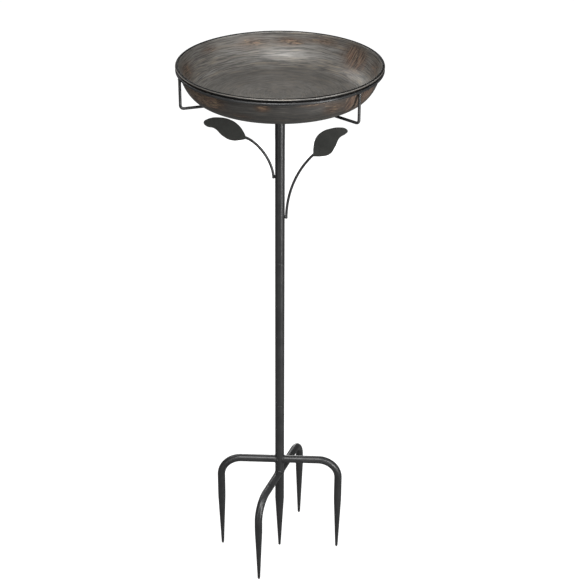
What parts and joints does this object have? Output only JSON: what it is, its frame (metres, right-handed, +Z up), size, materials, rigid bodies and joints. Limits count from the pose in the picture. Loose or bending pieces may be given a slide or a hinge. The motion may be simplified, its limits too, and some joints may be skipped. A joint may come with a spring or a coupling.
{
  "type": "bird feeder on pole",
  "caption": "Round metal dish for feeding or bathing birds, held in a wire ring on a slim pole with leaf ornaments and a pronged foot for the ground.",
  "frame": {"origin": "on the ground plane that the prongs' tips touch, under the pole's axis, which is the centre of the bounding box's bottom", "axes": "+Z up along the pole; +X towards the leaf with the longer stem, whose foot is lower down the pole; +Y towards the back, away from the flat faces of the leaves that are seen from the front"},
  "size_m": [0.3262, 0.3262, 0.9379],
  "materials": {
    "black_powder_coat": "satin, slightly uneven powder coat",
    "leaf_powder_coat": "matt powder coat, a little greener",
    "brushed_bronze_enamel": "dark bronze with dry-brushed copper strokes",
    "plain_steel": "plain drawn tube"
  },
  "bodies": {
    "ground_stake": {"lower_pole": "black_powder_coat", "lower_joint_sleeve": "plain_steel", "prong_left": "black_powder_coat", "prong_right": "black_powder_coat", "prong_front": "black_powder_coat", "prong_back": "black_powder_coat"},
    "middle_section": {"middle_pole": "black_powder_coat", "upper_joint_sleeve": "plain_steel"},
    "upper_section": {"upper_pole": "black_powder_coat", "leaf_stem_left": "black_powder_coat", "leaf_left": "leaf_powder_coat", "leaf_stem_right": "black_powder_coat", "leaf_right": "leaf_powder_coat"},
    "holder": {"holder_socket": "black_powder_coat", "holder_ring": "black_powder_coat", "holder_arm_left": "black_powder_coat", "holder_arm_right": "black_powder_coat", "holder_arm_back": "black_powder_coat"},
    "dish": {"bowl": "brushed_bronze_enamel"}
  },
  "joints": [
    {"name": "middle_section_lift", "type": "slide", "parent": "ground_stake", "child": "middle_section", "axis": [0, 0, 1], "range_m": [0, 0.06]},
    {"name": "upper_section_lift", "type": "slide", "parent": "middle_section", "child": "upper_section", "axis": [0, 0, 1], "range_m": [0, 0.06]},
    {"name": "holder_turn", "type": "hinge", "parent": "upper_section", "child": "holder", "pos_m": [0, 0, 0.8774], "axis": [0, 0, 1], "continuous": true},
    {"name": "dish_lift", "type": "slide", "parent": "holder", "child": "dish", "axis": [0, 0, 1], "range_m": [0, 0.12]}
  ]
}
